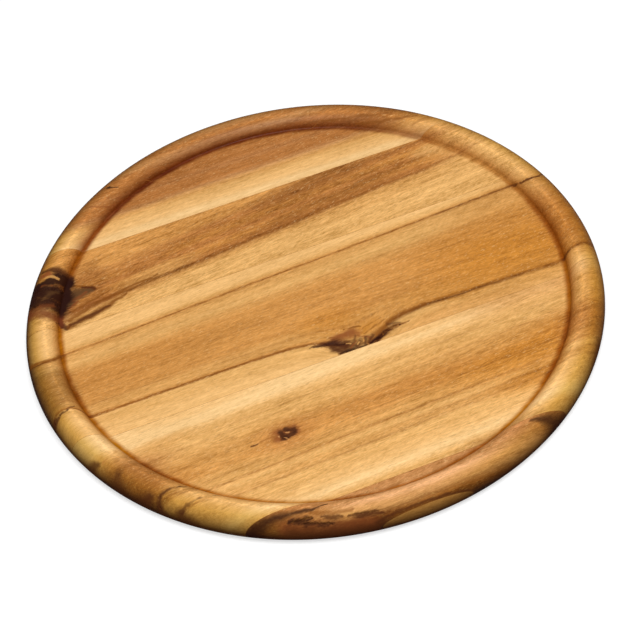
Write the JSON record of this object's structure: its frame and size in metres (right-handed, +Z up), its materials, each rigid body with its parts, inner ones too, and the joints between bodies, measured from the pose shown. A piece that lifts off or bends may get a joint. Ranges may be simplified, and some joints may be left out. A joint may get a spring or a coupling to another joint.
{
  "type": "pizza serving board",
  "caption": "Round wooden pizza serving board, glued from staves and turned with a flat sunken floor and a raised half-round bead round the edge.",
  "frame": {"origin": "centre of the underside, on the surface that the board stands on", "axes": "+Z up, X along the staves and their grain, +Y to the back of the board"},
  "size_m": [0.32, 0.32, 0.015],
  "materials": {
    "wood_back_edge": "oiled, satin",
    "wood_back": "oiled, satin",
    "wood_rim_knot": "oiled, satin",
    "wood_centre": "oiled, satin",
    "wood_front": "oiled, satin",
    "wood_front_edge": "oiled, satin",
    "wood_front_sliver": "oiled, satin",
    "glue": "cured wood glue, flush with the wood"
  },
  "bodies": {
    "root": {"back_edge_stave": "wood_back_edge", "back_stave": "wood_back", "rim_knot_stave": "wood_rim_knot", "centre_stave": "wood_centre", "front_stave": "wood_front", "front_edge_stave": "wood_front_edge", "front_sliver": "wood_front_sliver", "glue_line_1": "glue", "glue_line_2": "glue", "glue_line_3": "glue", "glue_line_4": "glue", "glue_line_5": "glue", "glue_line_6": "glue"}
  },
  "joints": []
}
